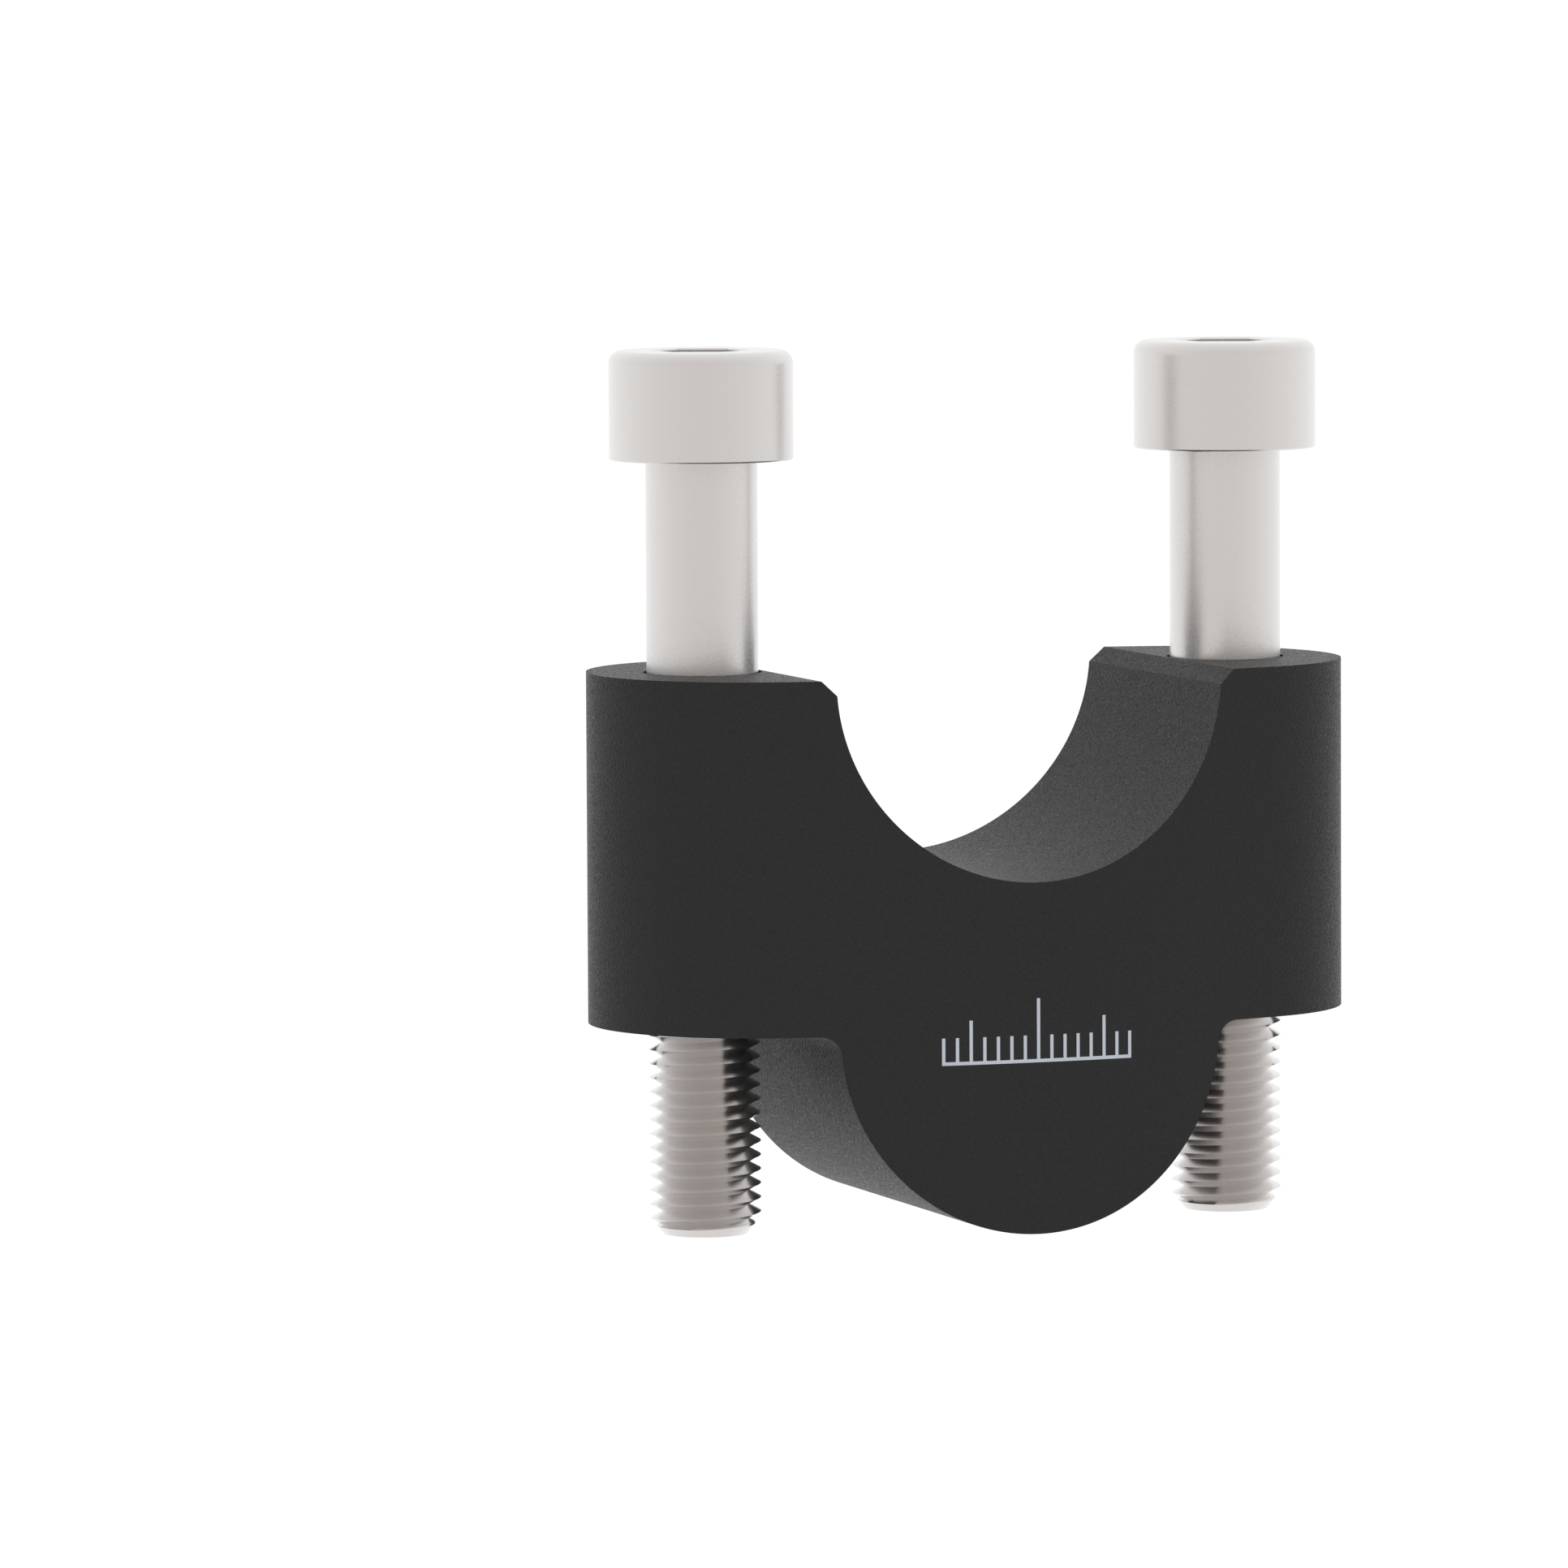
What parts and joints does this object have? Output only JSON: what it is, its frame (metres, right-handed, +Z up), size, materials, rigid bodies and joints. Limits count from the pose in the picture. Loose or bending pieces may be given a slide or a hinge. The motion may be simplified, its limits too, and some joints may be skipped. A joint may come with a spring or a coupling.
{
  "type": "motorcycle bar riser",
  "caption": "Solid riser block with a half-round saddle on top, a half-round seat underneath and socket-head clamp bolts, which raises a handlebar above its lower clamp.",
  "frame": {"origin": "on the axis of the lower half-round, halfway along it", "axes": "+X from the left bolt to the right bolt, +Y along the handlebar towards the back, +Z up along the bolts towards their heads"},
  "size_m": [0.0558, 0.028, 0.0625],
  "materials": {
    "black_anodised": "matt black anodised, fine grain",
    "bright_steel": "satin, turned"
  },
  "bodies": {
    "block": {"riser_block": "black_anodised"},
    "left_bolt": {"clamp_bolt_left": "bright_steel"},
    "right_bolt": {"clamp_bolt_right": "bright_steel"}
  },
  "joints": [
    {"name": "left_bolt_slide", "type": "slide", "parent": "block", "child": "left_bolt", "axis": [0, 0, 1], "range_m": [-0.01498, 0.04]},
    {"name": "right_bolt_slide", "type": "slide", "parent": "block", "child": "right_bolt", "axis": [0, 0, 1], "range_m": [-0.01498, 0.04]}
  ]
}
